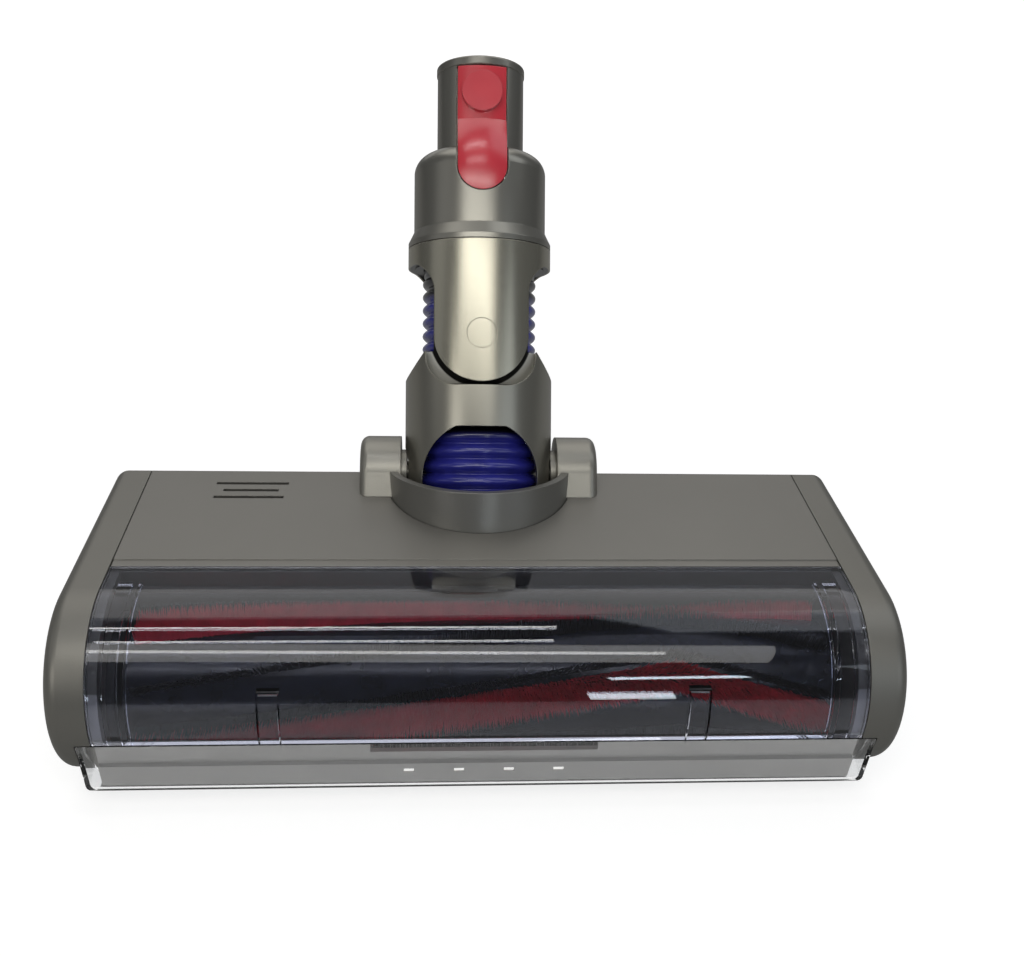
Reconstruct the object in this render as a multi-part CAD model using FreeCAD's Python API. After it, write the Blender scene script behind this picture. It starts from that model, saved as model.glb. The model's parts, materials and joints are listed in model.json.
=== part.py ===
import FreeCAD, Part
import math
import os

from FreeCAD import Vector

os.makedirs("parts", exist_ok=True)

# Floor head, in millimetres. X runs along the head, Y from the round nose to the back, Z up.
# While it is built, Y is 0 on the axis of the round nose and Z is 0 on the floor.
head_length = 251.8
cap_width = 12.3
nose_radius = 29.5
nose_height = 31.05
plate_slope = 6.8
head_back = 75.3
back_lean = 2.5
back_top_radius = 3.0
back_bottom_radius = 6.0
wall = 2.4
seam = 0.3
cap_edge_radius = 4.2
split_height = 24.0
plate_joint = 15.5
plate_step_back = 19.0
plate_step_depth = 0.35

# Brush chamber, clear cover and lamp strip.
brush_height = 26.0
brush_tip = 25.0
chamber_radius = 26.6
chamber_wall = 2.0
chamber_arc = 58.0
bulkhead_inner = 110.6
bulkhead_bore = 25.5
cover_radius = 29.3
cover_wall = 2.2
cover_end_angle = 183.2
cover_tab_x = 62.7
cover_tab_width = 6.6
cover_slit = 0.5
strip_half = 118.2
strip_wall = 1.2
strip_bottom = 6.6
strip_top = 29.0
strip_round = 4.0
strip_corner = 5.0
mouth_back = 17.0
front_wall_y = -25.5
front_wall = 1.5
bristle_slot_half = 34.0
bristle_slot_floor = 23.4
lamp_pitch = 15.1
lamp_height = 16.1

# Brush bar and its drive.
core_radius = 18.0
core_bore = 15.6
core_left = -106.0
core_right = 107.0
chevron_x = 58.0
long_twist = 0.45
short_twist = 0.79
row_count = 3
bristle_phase = 50.0
strip_phases = (66.0, 109.0)
bristle_width = 5.5
strip_width = 1.6
pod_radius = 13.2
pod_bore = 12.0
pod_end = -14.0
motor_radius = 11.8
shaft_radius = 2.5
dog_flats = 13.0
running = 0.06

# Wheels, pads and the quarter turn lock of the right cap.
wheel_radius = 7.0
wheel_width = 7.0
wheel_x = 88.0
wheel_y = 60.0
axle_radius = 1.5
bay_gap = 1.0
bay_wall = 1.6
pad_x = 84.0
lock_x = 101.0
lock_y = 40.0
lock_radius = 8.0

# Neck: pivot of the pitch hinge, and the pitch angle at rest above the floor.
pivot_y = 72.0
pivot_z = 53.0
rest_pitch = 53.6
cup_tilt = 70.0
cup_radius = 31.5
cup_wall = 2.6
cup_centre = -5.5
cup_rim = 4.0
cup_floor = -27.5
cup_back = 84.0
cup_back_rim = 29.5
ear_inner = 27.0
ear_outer = 41.0
ear_radius = 12.7
ear_front = 56.0
ear_slope = 54.0
pin_radius = 4.0
pin_disc = 8.0

# Neck: sizes along its own axis, counted from the pitch pivot.
yoke_radius = 25.7
yoke_bore = 22.8
leg_radius = 16.6
leg_half = 19.5
arch_top = 15.6
arch_half_top = 8.3
ring_bottom = 22.0
ring_top = 36.0
ring_bore = 16.6
ear_bore = 20.5
shoulder_side = 31.8
shoulder_top = 41.0
shoulder_x = 19.0
swing_height = 46.5
ball_radius = 23.3
tongue_half = 16.0
recess_half = 18.6
recess_side = 38.5
cheek_step = 39.0
recess_floor = 29.3
swing_pin_radius = 5.0
arm_radius = 25.0
arm_bore = 22.4
arm_seam = 78.0
side_arch_half = 19.2
side_arch_top = 71.4
side_arch_round = 10.0
collar_radius = 23.05
collar_foot = 84.0
collar_top = 104.6
shoulder_rise = 6.4
stub_radius = 15.4
stub_bore = 13.2
stub_end = 142.0
stub_band = 139.2
stub_relief = 0.3
rim_round = 0.8
airway_flat = 9.3
latch_half = 8.3
latch_foot = 94.7
latch_end = 139.0
pad_end = 120.0
bar_crown = 22.0
latch_pivot = 99.5
latch_pivot_depth = 17.6
catch_radius = 6.9
catch_height = 129.5
hose_ridge = 20.1
hose_valley = 17.9
hose_bore = 16.6
hose_pitch = 4.4

cap_plane = head_length / 2 - cap_width
cap_depth = head_length / 2 - wall + 0.2
slope = math.radians(plate_slope)
plate_top_y = nose_radius * math.sin(slope)
plate_top_z = nose_height + nose_radius * math.cos(slope)
pitch = math.radians(rest_pitch)
pivot = Vector(0, pivot_y, pivot_z)
rim_reach_along = (stub_end - rim_round) * math.cos(pitch)
rim_reach_across = (stub_radius - rim_round) * math.sin(pitch)
back_reach = pivot_y + rim_reach_along + rim_reach_across + rim_round
origin_y = (back_reach - nose_radius) / 2


def side(y, z):
    return Vector(0, y, z)


def plate_z(y):
    return plate_top_z - (y - plate_top_y) * math.tan(slope)


def save(name, shape):
    placed = shape.removeSplitter()
    placed.translate(Vector(0, -origin_y, 0))
    placed.exportStep("parts/" + name + ".step")


def box(x0, x1, y0, y1, z0, z1):
    return Part.makeBox(x1 - x0, y1 - y0, z1 - z0, Vector(x0, y0, z0))


def both_sides(shape):
    return shape.fuse(shape.mirror(Vector(0, 0, 0), Vector(1, 0, 0)))


def mirrored(shape):
    return shape.mirror(Vector(0, 0, 0), Vector(1, 0, 0))


def along_x(face, x0, x1):
    body = face.extrude(Vector(x1 - x0, 0, 0))
    body.translate(Vector(x0, 0, 0))
    return body


def side_polygon(points):
    corners = [side(y, z) for y, z in points]
    return Part.Face(Part.makePolygon(corners + corners[:1]))


def front_polygon(points):
    corners = [Vector(x, 0, z) for x, z in points]
    return Part.Face(Part.makePolygon(corners + corners[:1]))


def through_y(face, y0, y1):
    body = face.extrude(Vector(0, y1 - y0, 0))
    body.translate(Vector(0, y0, 0))
    return body


def x_rod(radius, x0, x1, y, z):
    return Part.makeCylinder(radius, x1 - x0, Vector(x0, y, z), Vector(1, 0, 0))


def x_ring(outer, inner, x0, x1, y, z):
    return x_rod(outer, x0, x1, y, z).cut(x_rod(inner, x0 - 1, x1 + 1, y, z))


def y_rod(radius, y0, y1, x, z):
    return Part.makeCylinder(radius, y1 - y0, Vector(x, y0, z), Vector(0, 1, 0))


def z_rod(radius, z0, z1, x=0.0, y=0.0):
    return Part.makeCylinder(radius, z1 - z0, Vector(x, y, z0))


def z_ring(outer, inner, z0, z1, x=0.0, y=0.0):
    return z_rod(outer, z0, z1, x, y).cut(z_rod(inner, z0 - 1, z1 + 1, x, y))


def tilt_from_pivot(shape, angle):
    """Stand a shape that was built upright about the pitch pivot at its angle above the floor."""
    turned = shape.copy()
    turned.rotate(Vector(0, 0, 0), Vector(1, 0, 0), angle - 90)
    turned.translate(pivot)
    return turned


def on_neck(shape):
    return tilt_from_pivot(shape, rest_pitch)


def round_corner(before, corner, after, radius):
    """Give the start, middle and end of the arc that rounds a corner."""
    to_before = (before - corner).normalize()
    to_after = (after - corner).normalize()
    half = to_before.getAngle(to_after) / 2
    bisector = (to_before + to_after).normalize()
    reach = radius / math.tan(half)
    depth = radius / math.sin(half) - radius
    return corner + to_before * reach, corner + bisector * depth, corner + to_after * reach


def head_outline(inset=0.0):
    """Side profile of the head: round nose, sloping plate, leaning back and flat sole."""
    radius = nose_radius - inset
    sole = nose_height - radius
    back = head_back - inset
    lean = back_lean
    bottom = side(0, sole)
    front = side(-radius, nose_height)
    top = side(radius * math.sin(slope), nose_height + radius * math.cos(slope))
    back_top = side(back, top.z - (back - top.y) * math.tan(slope))
    back_bottom = side(back - lean, sole)
    upper = round_corner(top, back_top, back_bottom, back_top_radius - inset)
    lower = round_corner(back_top, back_bottom, bottom, back_bottom_radius - inset)
    edges = [
        Part.Arc(bottom, front, top).toShape(),
        Part.makeLine(top, upper[0]),
        Part.Arc(upper[0], upper[1], upper[2]).toShape(),
        Part.makeLine(upper[2], lower[0]),
        Part.Arc(lower[0], lower[1], lower[2]).toShape(),
        Part.makeLine(lower[2], bottom),
    ]
    return Part.Face(Part.Wire(edges))


def cup_space(radius, z0, z1):
    """Tilted round well in the plate that the neck stands in."""
    return tilt_from_pivot(z_rod(radius, z0, z1, 0, cup_centre), cup_tilt)


def screw_places():
    return [Vector(x, 62.0, 0) for x in (-106.5, -50.0, 50.0, 106.5)]


def upper_housing():
    """Moulded top shell: plate, back wall, vent slots and the round well for the neck."""
    half = cap_plane - seam / 2
    shell = along_x(head_outline(), -half, half).cut(along_x(head_outline(wall), -half - 1, half + 1))
    shell = shell.common(box(-half, half, plate_joint + seam / 2, 90, split_height + seam / 2, 90))
    web_top = plate_z(plate_joint) - cover_wall - 0.4
    web_front = plate_joint - 1.4
    web_back = plate_joint + 2.6
    web = side_polygon([(web_front, 50.6), (web_back, 50.6), (web_back, web_top), (web_front, web_top)])
    shell = shell.fuse(along_x(web, -bulkhead_inner, bulkhead_inner))
    for place in screw_places():
        boss_top = plate_z(place.y) - wall / 2
        shell = shell.fuse(z_ring(3.4, 1.2, 14.0, boss_top, place.x, place.y))
    step = side_polygon([
        (plate_joint - 1, 70), (plate_step_back, 70),
        (plate_step_back, plate_z(plate_step_back) - plate_step_depth),
        (plate_joint - 1, plate_z(plate_joint - 1) - plate_step_depth),
    ])
    shell = shell.cut(along_x(step, -half, half))
    shell = shell.cut(cup_space(cup_radius + seam, cup_floor - 2.3, 60))
    for y, x0, x1 in ((65.0, -90.0, -65.5), (60.5, -87.0, -68.5), (56.0, -89.6, -66.3)):
        shell = shell.cut(box(x0, x1, y - 0.8, y + 0.8, 45, 60))
    return shell.cut(both_sides(x_rod(pin_radius, ear_inner, 37.0, pivot_y, pivot_z)))


def suction_loft(inset):
    """Air passage from the back of the brush chamber up to the foot of the hose."""
    sections = (
        (19.0, 22.0, 0.0, 16.0),
        (38.0, 23.2, 14.0, 16.0),
        (50.0, 27.8, 34.0, 16.0),
        (57.8, 33.7, rest_pitch, 15.8),
        (62.3, 39.8, rest_pitch, 18.4),
    )
    wires = []
    for y, z, lift, radius in sections:
        turn = math.radians(lift)
        normal = Vector(0, math.cos(turn), math.sin(turn))
        wires.append(Part.Wire(Part.makeCircle(radius - inset, side(y, z), normal)))
    return Part.makeLoft(wires, True)


def chamber_space(radius, x0, x1):
    return x_rod(radius, x0, x1, 0, brush_height)


def wheel_bay(x, gap):
    """Block of space round a wheel, larger than the wheel by the gap on every side."""
    reach = wheel_radius + gap
    half = wheel_width / 2 + gap
    return box(x - half, x + half, wheel_y - reach, wheel_y + reach, -1, 2 * wheel_radius + gap)


def chamber_liner():
    """Curved wall behind and above the brush."""
    half = bulkhead_inner
    ring = x_ring(chamber_radius + chamber_wall, chamber_radius, -half, half, 0, brush_height)
    reach = 2 * chamber_radius
    top = math.radians(chamber_arc)
    foot = math.radians(-chamber_arc)
    wedge = side_polygon([
        (0, brush_height),
        (reach * math.cos(foot), brush_height + reach * math.sin(foot)),
        (reach * 1.5, brush_height),
        (reach * math.cos(top), brush_height + reach * math.sin(top)),
    ])
    return ring.common(along_x(wedge, -half, half))


def front_bar():
    """Wall in front of the brush, stepped forward below to carry the lamps."""
    back = front_wall_y
    front = back - front_wall
    bar = side_polygon([
        (back, 28.0), (front, 28.0), (front, 19.6), (-28.1, 19.2), (-28.1, 10.8), (-25.6, 8.1), (-21.5, 8.1),
        (-21.5, 9.4), (-25.5, 9.4), (-26.6, 10.8), (-26.6, 18.0), (back, 18.0),
    ])
    half = cap_plane - seam / 2
    bar = along_x(bar, -half, half)
    bar = bar.cut(chamber_space(bulkhead_bore, bulkhead_inner, 120))
    slot = box(-bristle_slot_half, bristle_slot_half, -30, -24, bristle_slot_floor, bristle_slot_floor + 3.4)
    bar = bar.cut(slot)
    for x in (-cover_tab_x, cover_tab_x):
        bar = bar.fuse(box(x - 2.7, x + 2.7, -28.1, front, 26.6, 29.1))
    for step in (-1.5, -0.5, 0.5, 1.5):
        x = step * lamp_pitch
        bar = bar.cut(box(x - 1.7, x + 1.7, -30, -26, lamp_height - 0.8, lamp_height + 0.8))
    return bar


def bulkheads():
    """End walls of the brush chamber, the left one closed and the right one open for the brush."""
    inner = head_outline(wall + 0.1)
    half = cap_plane - seam / 2
    left = along_x(inner, -half, -bulkhead_inner)
    right = along_x(inner, bulkhead_inner, half).cut(chamber_space(bulkhead_bore, 100, 120))
    nose = box(-half, half, -40, plate_joint + 1.5, -5, 80)
    snug = along_x(head_outline(cover_wall + 0.6), -half, half)
    trimmed = left.fuse(right)
    return trimmed.cut(nose).fuse(trimmed.common(nose).common(snug))


def lower_housing():
    """Moulded sole with the brush chamber, wheel bays, bosses and the lamp bar."""
    half = cap_plane - seam / 2
    shell = along_x(head_outline(), -half, half).cut(along_x(head_outline(wall), -half - 1, half + 1))
    shell = shell.common(box(-half, half, mouth_back, 90, 0, split_height - seam / 2))
    shell = shell.fuse([chamber_liner(), front_bar(), bulkheads()])
    for place in screw_places():
        shell = shell.fuse(z_rod(3.4, nose_height - nose_radius + 1, 14.0, place.x, place.y))
    for x in (-96.0, -56.0):
        shell = shell.fuse(z_rod(2.0, 3.0, 20.0, x, 42.0))
    inside = along_x(head_outline(0.6), -half, half)
    for x in (-wheel_x, wheel_x):
        shell = shell.fuse(wheel_bay(x, bay_gap + bay_wall).common(inside))
        shell = shell.cut(wheel_bay(x, bay_gap))
        shell = shell.cut(x_rod(axle_radius, x - 6, x + 6, wheel_y, wheel_radius))
    for place in screw_places():
        shell = shell.cut(z_rod(2.9, 0, 3.0, place.x, place.y))
        shell = shell.cut(z_rod(1.2, 0, 12.0, place.x, place.y))
    shell = shell.cut(suction_loft(1.6))
    shell = shell.cut(box(bulkhead_inner - 1, 116, lock_y - 6.4, lock_y + 6.4, 4.9, 8.1))
    shell = shell.cut(z_rod(lock_radius + running, 0, 6, lock_x, lock_y))
    return shell.cut(cup_space(cup_radius + seam, cup_floor - 2.3, 60))


def suction_duct():
    """Duct between the chamber wall and the hose, ending in a short round neck."""
    duct = suction_loft(0).cut(suction_loft(1.6))
    return duct.cut(chamber_space(chamber_radius + chamber_wall, -60, 60))


def neck_cup():
    """Round tub that the neck stands in, with the raised half collar in front and a low rear rim."""
    tub = tilt_from_pivot(z_rod(cup_radius, cup_floor - 2.0, cup_rim, 0, cup_centre), cup_tilt)
    hollow = tilt_from_pivot(z_rod(cup_radius - cup_wall, cup_floor, cup_rim + 1, 0, cup_centre), cup_tilt)
    tub = tub.common(box(-60, 60, 0, cup_back, 0, 100))
    tub = tub.cut(hollow.common(box(-60, 60, 0, cup_back - 2.0, 0, 100)))
    lean = math.radians(ear_slope)
    front_top = (ear_front + 30 * math.cos(lean), plate_z(ear_front) + 30 * math.sin(lean))
    behind = side_polygon([(ear_front, plate_z(ear_front)), front_top, (140, 90), (140, plate_z(140))])
    tub = tub.cut(along_x(behind, -60, 60))
    tub = tub.cut(box(-60, 60, head_back - 0.3, 140, cup_back_rim, 100))
    tub = tub.cut(box(-ear_inner, ear_inner, head_back - 2.0, 140, cup_back_rim + 4, 100))
    ears = both_sides(neck_ear().fuse(neck_pin()))
    return tub.cut(ears).cut(suction_loft(0))


def neck_ear():
    """One of the two cheeks that carry the pitch hinge, flat and sloping in front, round on top."""
    lean = math.radians(ear_slope)
    foot = side(ear_front, plate_z(ear_front))

    def on_crown(angle):
        turn = math.radians(angle)
        return pivot + side(ear_radius * math.cos(turn), ear_radius * math.sin(turn))

    touch = on_crown(ear_slope + 90)
    crown = on_crown(60)
    rear = on_crown(-35)
    heel = side(head_back - 3.0, 33.0)
    edges = [
        Part.makeLine(foot - side(2 * math.cos(lean), 2 * math.sin(lean)), touch),
        Part.Arc(touch, crown, rear).toShape(),
        Part.makeLine(rear, heel),
        Part.makeLine(heel, foot - side(2 * math.cos(lean), 2 * math.sin(lean))),
    ]
    ear = along_x(Part.Face(Part.Wire(edges)), ear_inner, ear_outer)
    rim = [edge for edge in ear.Edges if edge.BoundBox.XMin > ear_outer - 0.1 and edge.CenterOfMass.z > 52]
    ear = ear.makeFillet(3.0, rim)
    ear = ear.cut(along_x(head_outline(), -cap_plane, cap_plane))
    low_tub = cup_space(cup_radius, cup_floor - 2.0, 60).common(box(0, 60, 60, 100, 0, cup_back_rim))
    ear = ear.cut(low_tub)
    return ear.cut(x_rod(pin_radius, ear_inner - 1, 37.0, pivot_y, pivot_z))


def neck_pin():
    """Stepped hinge pin, pressed in the ear, with a disc in the gap beside the yoke."""
    pin = x_rod(pin_radius, 22.9, 37.0, pivot_y, pivot_z)
    return pin.fuse(x_rod(pin_disc, 25.0, ear_inner, pivot_y, pivot_z))


def end_cap():
    """Left cap: rounded outer edge, hollow behind, notched in front for the lamp strip."""
    outer = head_length / 2
    inner = cap_plane + seam / 2
    cap = along_x(head_outline(), inner, outer)
    rim = [edge for edge in cap.Edges if edge.BoundBox.XMin > outer - 0.1]
    cap = cap.makeFillet(cap_edge_radius, rim)
    hollow = along_x(head_outline(wall), inner - 1, outer - wall)
    hollow = hollow.common(box(0, 200, -15.5, 100, 0, 100))
    cap = cap.cut(hollow)
    notch = box(0, strip_half + seam, -40, -20.6, -5, strip_top + 0.4)
    return cap.cut(notch)


def left_end_cap():
    cap = mirrored(end_cap())
    rib = x_ring(16.0, 14.0, -cap_depth, -cap_plane - seam / 2, 0, brush_height)
    return cap.fuse(rib)


def right_end_cap():
    """Right cap: carries the brush bearing on a round spigot and the tongue of the lock."""
    cap = end_cap()
    spigot = x_rod(bulkhead_bore - 0.3, 111.4, cap_plane + seam / 2 + 1.2, 0, brush_height)
    spigot = spigot.common(along_x(head_outline(1.2), 100, 130))
    hub = x_rod(9.0, 111.4, cap_depth, 0, brush_height)
    cap = cap.fuse([spigot, hub]).cut(x_rod(6.5, 110, 119.0, 0, brush_height))
    tongue = box(lock_x - 6.0, cap_plane + 2.4, lock_y - 6.0, lock_y + 6.0, 5.3, 7.6)
    root = box(cap_plane + seam / 2, cap_depth, lock_y - 6.0, lock_y + 6.0, 3.9, 9.6)
    notch = box(0, lock_x, lock_y - 3.8, lock_y + 3.8, 0, 20).fuse(z_rod(3.8, 0, 20, lock_x, lock_y))
    return cap.fuse([tongue.cut(notch), root])


def cap_lock():
    """Quarter turn fastener in the sole, with a coin slot and a lobe over the cap's tongue."""
    sole = nose_height - nose_radius
    lock = z_rod(lock_radius, sole + 0.1, sole + wall, lock_x, lock_y)
    lock = lock.fuse(z_rod(lock_radius + 1.4, sole + wall + 0.1, sole + wall + 0.9, lock_x, lock_y))
    lock = lock.fuse(z_rod(lock_radius, sole + wall, sole + wall + 0.1, lock_x, lock_y))
    lock = lock.fuse(z_rod(3.4, sole + wall, 9.8, lock_x, lock_y))
    lock = lock.fuse(box(lock_x - 2.6, lock_x + 2.6, lock_y, lock_y + 6.8, 7.9, 9.8))
    return lock.cut(box(lock_x - 0.9, lock_x + 0.9, lock_y - 6.5, lock_y + 6.5, 0, sole + 1.3))


def clear_cover():
    """Clear curved window over the brush, with end ribs and two slitted snap tabs."""
    half = cap_plane - seam / 2
    nose = side(0, nose_height)

    def at(radius, angle):
        turn = math.radians(angle)
        return nose + side(radius * math.cos(turn), radius * math.sin(turn))

    inner_radius = cover_radius - cover_wall
    drop = nose_radius - cover_radius
    joint = plate_joint - seam / 2
    joint_z = plate_z(joint) - drop
    top_angle = 90 - plate_slope
    middle_angle = (top_angle + cover_end_angle) / 2

    def arc(radius, start, end):
        return Part.Arc(at(radius, start), at(radius, middle_angle), at(radius, end)).toShape()

    edges = [
        arc(cover_radius, cover_end_angle, top_angle),
        Part.makeLine(at(cover_radius, top_angle), side(joint, joint_z)),
        Part.makeLine(side(joint, joint_z), side(joint, joint_z - cover_wall)),
        Part.makeLine(side(joint, joint_z - cover_wall), at(inner_radius, top_angle)),
        arc(inner_radius, top_angle, cover_end_angle),
        Part.makeLine(at(inner_radius, cover_end_angle), at(cover_radius, cover_end_angle)),
    ]
    cover = along_x(Part.Face(Part.Wire(edges)), -half, half)
    band = box(-half, half, -40, 8, 29.6, 80)
    for x, thickness in ((102.6, 0.7), (105.2, 4.2)):
        rib = x_ring(inner_radius + 0.5, inner_radius - 0.9, x, x + thickness, 0, nose_height).common(band)
        cover = cover.fuse(both_sides(rib))
    for x in (-cover_tab_x, cover_tab_x):
        left = x - cover_tab_width / 2
        right = x + cover_tab_width / 2
        cover = cover.cut(box(left, left + cover_slit, -40, -15, 29.0, 46.0))
        cover = cover.cut(box(right - cover_slit, right, -40, -15, 29.0, 46.0))
        cover = cover.cut(box(left, right, -40, -15, 45.5, 46.0))
    return cover


def lamp_strip():
    """Clear bumper bar under the window, with hooked ends that grip the end caps."""
    front = -29.4
    back = -21.2

    def section(inset, end, height):
        floor = strip_bottom + inset
        face = front + inset
        bend = round_corner(side(face, height), side(face, floor), side(end, floor), strip_round - inset)
        return Part.Face(Part.Wire([
            Part.makeLine(side(face, height), bend[0]),
            Part.Arc(bend[0], bend[1], bend[2]).toShape(),
            Part.makeLine(bend[2], side(end, floor)),
            Part.makeLine(side(end, floor), side(end, height)),
            Part.makeLine(side(end, height), side(face, height)),
        ]))

    def shell(inset, end, height):
        """Block of that section with rounded lower corners, seen from the front."""
        reach = strip_half - inset
        floor = strip_bottom + inset
        edge = Vector(reach, 0, height)
        right = round_corner(edge, Vector(reach, 0, floor), Vector(0, 0, floor), strip_corner - inset)
        front_face = Part.Face(Part.Wire([
            Part.makeLine(Vector(-reach, 0, height), Vector(-reach, 0, right[0].z)),
            Part.Arc(Vector(-reach, 0, right[0].z), Vector(-right[1].x, 0, right[1].z),
                     Vector(-right[2].x, 0, floor)).toShape(),
            Part.makeLine(Vector(-right[2].x, 0, floor), right[2]),
            Part.Arc(right[2], right[1], right[0]).toShape(),
            Part.makeLine(right[0], Vector(reach, 0, height)),
            Part.makeLine(Vector(reach, 0, height), Vector(-reach, 0, height)),
        ]))
        return along_x(section(inset, end, height), -reach, reach).common(through_y(front_face, -40, 0))

    bar = shell(0, back, strip_top).cut(shell(strip_wall, back + 1, strip_top + 1))
    return bar.cut(both_sides(chamber_space(bulkhead_bore, bulkhead_inner, 120)))


def lamp_board():
    """Narrow circuit board behind the lamp windows."""
    half = 2.4 * lamp_pitch
    return box(-half, half, -26.6, -25.6, lamp_height - 3.6, lamp_height + 1.2)


def head_lamps():
    """Four small lamps on the board, each in its own window."""
    lamps = []
    for step in (-1.5, -0.5, 0.5, 1.5):
        x = step * lamp_pitch
        lamps.append(box(x - 1.5, x + 1.5, -27.8, -26.6, lamp_height - 0.65, lamp_height + 0.65))
    return Part.makeCompound(lamps)


def motor_pod():
    """Tube held at one end, with the motor inside and the brush turning around it."""
    pod = x_ring(pod_radius, pod_bore, -bulkhead_inner, pod_end, 0, brush_height)
    flange = x_rod(21.0, -bulkhead_inner, -108.2, 0, brush_height)
    face = x_rod(pod_radius, pod_end - 2.0, pod_end, 0, brush_height)
    pod = pod.fuse([flange, face])
    return pod.cut(x_rod(shaft_radius + running, pod_end - 4, pod_end + 1, 0, brush_height))


def pod_bearing():
    return x_ring(core_bore - running, pod_radius, -104.0, -98.0, 0, brush_height)


def brush_motor():
    can = x_rod(motor_radius, -106.0, -50.0, 0, brush_height)
    neck = x_rod(5.0, -50.0, -48.6, 0, brush_height)
    return can.fuse(neck).cut(x_rod(shaft_radius + running, -60, -48, 0, brush_height))


def gearbox():
    body = x_rod(motor_radius, -48.6, -22.0, 0, brush_height)
    return body.cut(x_rod(shaft_radius + running, -50, -20, 0, brush_height))


def x_hexagon(flats, x0, x1):
    """Six sided bar on the brush axis."""
    reach = flats / 2 / math.cos(math.radians(30))
    corners = []
    for step in range(7):
        turn = math.radians(60 * step)
        corners.append(side(reach * math.cos(turn), brush_height + reach * math.sin(turn)))
    return along_x(Part.Face(Part.makePolygon(corners)), x0, x1)


def drive_shaft():
    shaft = x_rod(shaft_radius, -58.0, pod_end + 1.0, 0, brush_height)
    return shaft.fuse(x_hexagon(dog_flats, pod_end + 1.0, -3.0))


def drive_hub():
    """Socket inside the brush tube that slides over the six sided driver."""
    hub = x_rod(core_bore, pod_end + 2.0, 0.0, 0, brush_height)
    return hub.cut(x_hexagon(dog_flats + 0.3, pod_end, -2.0))


def brush_core():
    return x_ring(core_radius, core_bore, core_left, core_right, 0, brush_height)


def brush_row(phase, width):
    """One row along the brush: a long twist from the left and a short one from the right."""
    left_end = core_left + 2.0
    right_end = core_right - 2.0
    stations = [left_end + (chevron_x - left_end) * step / 6 for step in range(6)]
    stations += [chevron_x + (right_end - chevron_x) * step / 4 for step in range(5)]
    wires = []
    for x in stations:
        lag = long_twist * (chevron_x - x) if x < chevron_x else short_twist * (x - chevron_x)
        turn = math.radians(phase - lag)
        out = Vector(0, -math.cos(turn), math.sin(turn))
        across = Vector(0, math.sin(turn), math.cos(turn)) * (width / 2)
        foot = Vector(x, 0, brush_height) + out * (core_radius - 0.4)
        tip = Vector(x, 0, brush_height) + out * math.sqrt(brush_tip ** 2 - (width / 2) ** 2)
        corners = [foot - across, foot + across, tip + across, tip - across]
        wires.append(Part.makePolygon(corners + corners[:1]))
    row = Part.makeLoft(wires, True, True)
    return row.cut(x_rod(core_radius, core_left - 1, core_right + 1, 0, brush_height))


def brush_rows(phases, width):
    rows = []
    for turn in range(row_count):
        for phase in phases:
            rows.append(brush_row(phase + turn * 360.0 / row_count, width))
    return Part.makeCompound(rows)


def brush_end_plug():
    plug = x_rod(core_bore, 99.0, core_right, 0, brush_height)
    stub = x_rod(4.0, core_right, 117.0, 0, brush_height)
    lip = x_rod(6.0, core_right, 108.6, 0, brush_height)
    return plug.fuse([stub, lip])


def cap_bush():
    return x_ring(6.5, 4.0 + running, 111.8, 119.0, 0, brush_height)


def wheel(x):
    """Small wheel with a hub and a rounded tread."""
    half = wheel_width / 2
    profile = [
        Vector(0, 0, axle_radius + running), Vector(-half, 0, axle_radius + running),
        Vector(-half, 0, 3.2), Vector(-half + 1.2, 0, 3.6), Vector(-half + 1.2, 0, 5.2),
        Vector(-half, 0, 5.6), Vector(-half, 0, wheel_radius - 0.8), Vector(-half + 0.8, 0, wheel_radius),
        Vector(half - 0.8, 0, wheel_radius), Vector(half, 0, wheel_radius - 0.8), Vector(half, 0, 5.6),
        Vector(half - 1.2, 0, 5.2), Vector(half - 1.2, 0, 3.6), Vector(half, 0, 3.2),
        Vector(half, 0, axle_radius + running),
    ]
    face = Part.Face(Part.makePolygon(profile + profile[:1]))
    tyre = face.revolve(Vector(0, 0, 0), Vector(1, 0, 0), 360)
    tyre.translate(Vector(x, wheel_y, wheel_radius))
    return tyre


def wheel_axle(x):
    return x_rod(axle_radius, x - 6, x + 6, wheel_y, wheel_radius)


def glide_pads():
    """Two low pads in front of the wheels, which carry the front of the head."""
    sole = nose_height - nose_radius
    pads = [box(x - 13, x + 13, 23.0, 31.0, 0, sole) for x in (-pad_x, pad_x)]
    return Part.makeCompound(pads)


def felt_strip():
    sole = nose_height - nose_radius
    return box(-108, 108, mouth_back + 0.6, mouth_back + 4.6, 0.6, sole)


def housing_screws():
    screws = []
    for place in screw_places():
        head = z_rod(2.8, 1.7, 3.0, place.x, place.y)
        shank = z_rod(1.2, 3.0, 11.5, place.x, place.y)
        slot = box(place.x - 0.3, place.x + 0.3, place.y - 1.8, place.y + 1.8, 1.0, 2.3)
        cross = box(place.x - 1.8, place.x + 1.8, place.y - 0.3, place.y + 0.3, 1.0, 2.3)
        screws.append(head.fuse(shank).cut(slot.fuse(cross)))
    return Part.makeCompound(screws)


def control_board():
    """Circuit board on two posts under the vents, with its taller parts."""
    board = box(-102, -50, 36, 49, 20.0, 21.6)
    parts = [
        box(-98, -88, 39, 46, 21.6, 28.0), z_rod(4.0, 21.6, 33.0, -80, 42),
        z_rod(3.0, 21.6, 30.0, -71, 43), box(-66, -54, 38, 47, 21.6, 24.0),
    ]
    return board.fuse(parts)


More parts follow.
